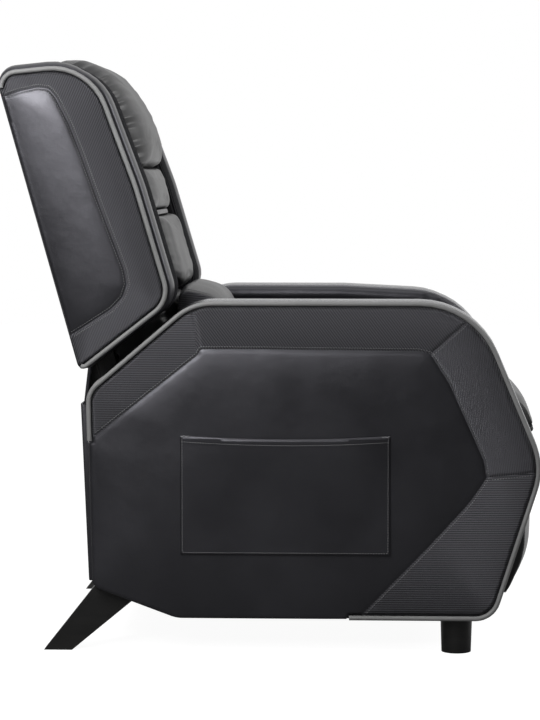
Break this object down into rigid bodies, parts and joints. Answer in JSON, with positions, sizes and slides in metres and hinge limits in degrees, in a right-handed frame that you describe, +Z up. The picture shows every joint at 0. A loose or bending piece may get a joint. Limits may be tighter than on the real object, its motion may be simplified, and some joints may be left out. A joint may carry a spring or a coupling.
{
  "type": "recliner armchair",
  "caption": "Push-back recliner armchair with padded side wings, headrest, lumbar cushion, side pockets and a footrest that folds out as the back goes down.",
  "frame": {"origin": "bottom centre of the chair's box, on the floor", "axes": "+X to the front, +Y to the sitter's left, +Z up"},
  "size_m": [0.9399, 0.782, 1.0541],
  "materials": {
    "smooth_leather": "smooth black synthetic leather",
    "carbon_leather": "black synthetic leather with a fine embossed twill",
    "piping": "grey piping cord",
    "frame_wood": "plywood and pine",
    "black_wood": "black lacquered wood",
    "mechanism_steel": "black painted steel",
    "pin_steel": "zinc-plated steel",
    "black_plastic": "black nylon",
    "lining": "black non-woven cloth",
    "webbing": "elastic webbing"
  },
  "bodies": {
    "base": {"arm_outer_panel_left": "smooth_leather", "arm_outer_panel_right": "smooth_leather", "arm_inner_panel_left": "smooth_leather", "arm_inner_panel_right": "smooth_leather", "arm_band_left": "carbon_leather", "arm_band_right": "carbon_leather", "arm_frame_left": "frame_wood", "arm_frame_right": "frame_wood", "arm_piping_left": "piping", "arm_piping_right": "piping", "side_pocket_left": "smooth_leather", "side_pocket_right": "smooth_leather", "rear_legs": "black_wood", "front_feet": "black_wood", "front_rail": "frame_wood", "rear_rail": "frame_wood", "rear_panel": "smooth_leather", "dust_cover": "lining", "slide_channels": "mechanism_steel"},
    "seat": {"seat_side_rail_left": "frame_wood", "seat_side_rail_right": "frame_wood", "mechanism_plate_left": "mechanism_steel", "mechanism_plate_right": "mechanism_steel", "seat_glides": "black_plastic", "seat_front_rail": "frame_wood", "seat_rear_rail": "frame_wood", "seat_front_board": "frame_wood", "seat_webbing": "webbing", "seat_cushion": "smooth_leather", "back_pivot_pins": "pin_steel", "link_pivot_pins": "pin_steel"},
    "backrest": {"back_stile_left": "frame_wood", "back_stile_right": "frame_wood", "wing_left": "carbon_leather", "wing_right": "carbon_leather", "wing_piping_left": "piping", "wing_piping_right": "piping", "back_brackets": "mechanism_steel", "back_top_rail": "frame_wood", "back_bottom_rail": "frame_wood", "back_webbing": "webbing", "back_cover": "smooth_leather", "wing_boards": "frame_wood", "headrest_cushion": "smooth_leather", "upper_pad": "smooth_leather", "pad_welt": "smooth_leather", "lower_pad": "smooth_leather", "lower_back_pad": "smooth_leather", "lumbar_cushion": "smooth_leather"},
    "lower_link_pair": {"lower_links": "mechanism_steel", "link_cross_tube": "mechanism_steel", "knee_pins": "pin_steel"},
    "upper_link_pair": {"upper_links": "mechanism_steel"},
    "footrest": {"footrest_board": "frame_wood", "footrest_pad": "smooth_leather", "footrest_brackets": "mechanism_steel", "footrest_pins": "pin_steel"}
  },
  "joints": [
    {"name": "seat_slide", "type": "slide", "parent": "base", "child": "seat", "axis": [1, 0, 0], "range_m": [0, 0.03]},
    {"name": "back_recline", "type": "hinge", "parent": "seat", "child": "backrest", "pos_m": [-0.292, 0, 0.44], "axis": [0, -1, 0], "range_deg": [0, 50]},
    {"name": "lower_link_swing", "type": "hinge", "parent": "seat", "child": "lower_link_pair", "pos_m": [0.328, 0, 0.33], "axis": [0, -1, 0], "range_deg": [0, 56.7]},
    {"name": "upper_link_swing", "type": "hinge", "parent": "lower_link_pair", "child": "upper_link_pair", "pos_m": [0.35543, 0, 0.14199], "axis": [0, 1, 0], "range_deg": [0, 113.4]},
    {"name": "footrest_swing", "type": "hinge", "parent": "upper_link_pair", "child": "footrest", "pos_m": [0.38286, 0, 0.33], "axis": [0, -1, 0], "range_deg": [0, 141.7]}
  ],
  "couplings": [
    {"joint": "seat_slide", "follows": "back_recline", "m_per_rad": 0.034376},
    {"joint": "lower_link_swing", "follows": "back_recline", "ratio": 1.134},
    {"joint": "upper_link_swing", "follows": "back_recline", "ratio": 2.268},
    {"joint": "footrest_swing", "follows": "back_recline", "ratio": 2.834}
  ]
}
